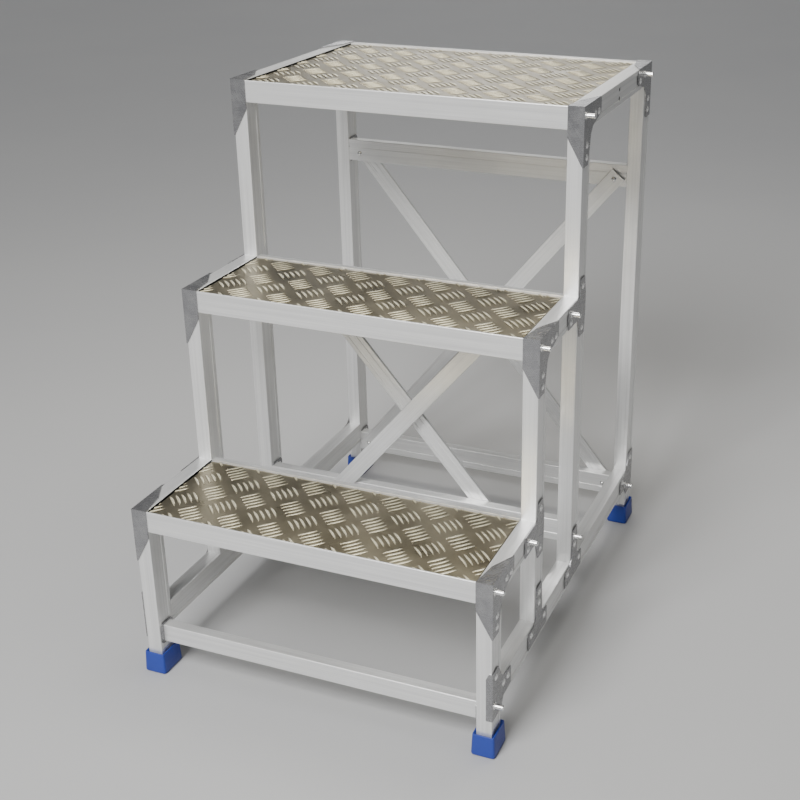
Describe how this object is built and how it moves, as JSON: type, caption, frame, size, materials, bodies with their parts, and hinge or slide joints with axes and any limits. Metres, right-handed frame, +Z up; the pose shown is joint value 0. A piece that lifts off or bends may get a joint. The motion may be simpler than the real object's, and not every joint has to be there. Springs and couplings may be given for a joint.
{
  "type": "mounting block",
  "caption": "Free-standing aluminium mounting block with chequer-plate treads on a riveted, cross-braced aluminium frame with plastic feet.",
  "frame": {"origin": "on the ground, in the middle of the footprint", "axes": "+Z up, +Y from the lowest tread towards the deck at the back, +X to the user's right"},
  "size_m": [0.6235, 0.794, 0.9015],
  "materials": {
    "frame_aluminium": "satin anodised",
    "chequer_plate": "rolled, lightly worn",
    "gusset_steel": "polished stainless",
    "rivet_metal": "bright",
    "bolt_steel": "zinc plated",
    "foot_plastic": "moulded"
  },
  "bodies": {
    "root": {"base_rail_left": "frame_aluminium", "base_rail_right": "frame_aluminium", "blind_rivets": "rivet_metal", "brace_bolts": "bolt_steel", "corner_gusset_left_1": "gusset_steel", "corner_gusset_left_2": "gusset_steel", "corner_gusset_left_3": "gusset_steel", "corner_gusset_right_1": "gusset_steel", "corner_gusset_right_2": "gusset_steel", "corner_gusset_right_3": "gusset_steel", "front_base_gusset_left": "gusset_steel", "front_base_gusset_right": "gusset_steel", "front_foot_left": "foot_plastic", "front_foot_right": "foot_plastic", "front_leg_left": "frame_aluminium", "front_leg_right": "frame_aluminium", "junction_gusset_left_1": "gusset_steel", "junction_gusset_left_2": "gusset_steel", "junction_gusset_right_1": "gusset_steel", "junction_gusset_right_2": "gusset_steel", "lower_front_rail": "frame_aluminium", "middle_brace_falling": "frame_aluminium", "middle_brace_rising": "frame_aluminium", "middle_lower_rail": "frame_aluminium", "rear_base_gusset_left": "gusset_steel", "rear_base_gusset_right": "gusset_steel", "rear_brace_falling": "frame_aluminium", "rear_brace_rising": "frame_aluminium", "rear_corner_gusset_left": "gusset_steel", "rear_corner_gusset_right": "gusset_steel", "rear_foot_left": "foot_plastic", "rear_foot_right": "foot_plastic", "rear_leg_left": "frame_aluminium", "rear_leg_right": "frame_aluminium", "rear_lower_rail": "frame_aluminium", "rear_upper_rail": "frame_aluminium", "second_leg_left": "frame_aluminium", "second_leg_right": "frame_aluminium", "side_pins": "bolt_steel", "tee_gusset_left_2": "gusset_steel", "tee_gusset_left_3": "gusset_steel", "tee_gusset_right_2": "gusset_steel", "tee_gusset_right_3": "gusset_steel", "third_leg_left": "frame_aluminium", "third_leg_right": "frame_aluminium", "tread_front_rail_1": "frame_aluminium", "tread_front_rail_2": "frame_aluminium", "tread_front_rail_3": "frame_aluminium", "tread_plate_1": "chequer_plate", "tread_plate_2": "chequer_plate", "tread_plate_3": "chequer_plate", "tread_rear_rail_1": "frame_aluminium", "tread_rear_rail_2": "frame_aluminium", "tread_rear_rail_3": "frame_aluminium", "tread_side_rail_left_1": "frame_aluminium", "tread_side_rail_left_2": "frame_aluminium", "tread_side_rail_left_3": "frame_aluminium", "tread_side_rail_right_1": "frame_aluminium", "tread_side_rail_right_2": "frame_aluminium", "tread_side_rail_right_3": "frame_aluminium"}
  },
  "joints": []
}
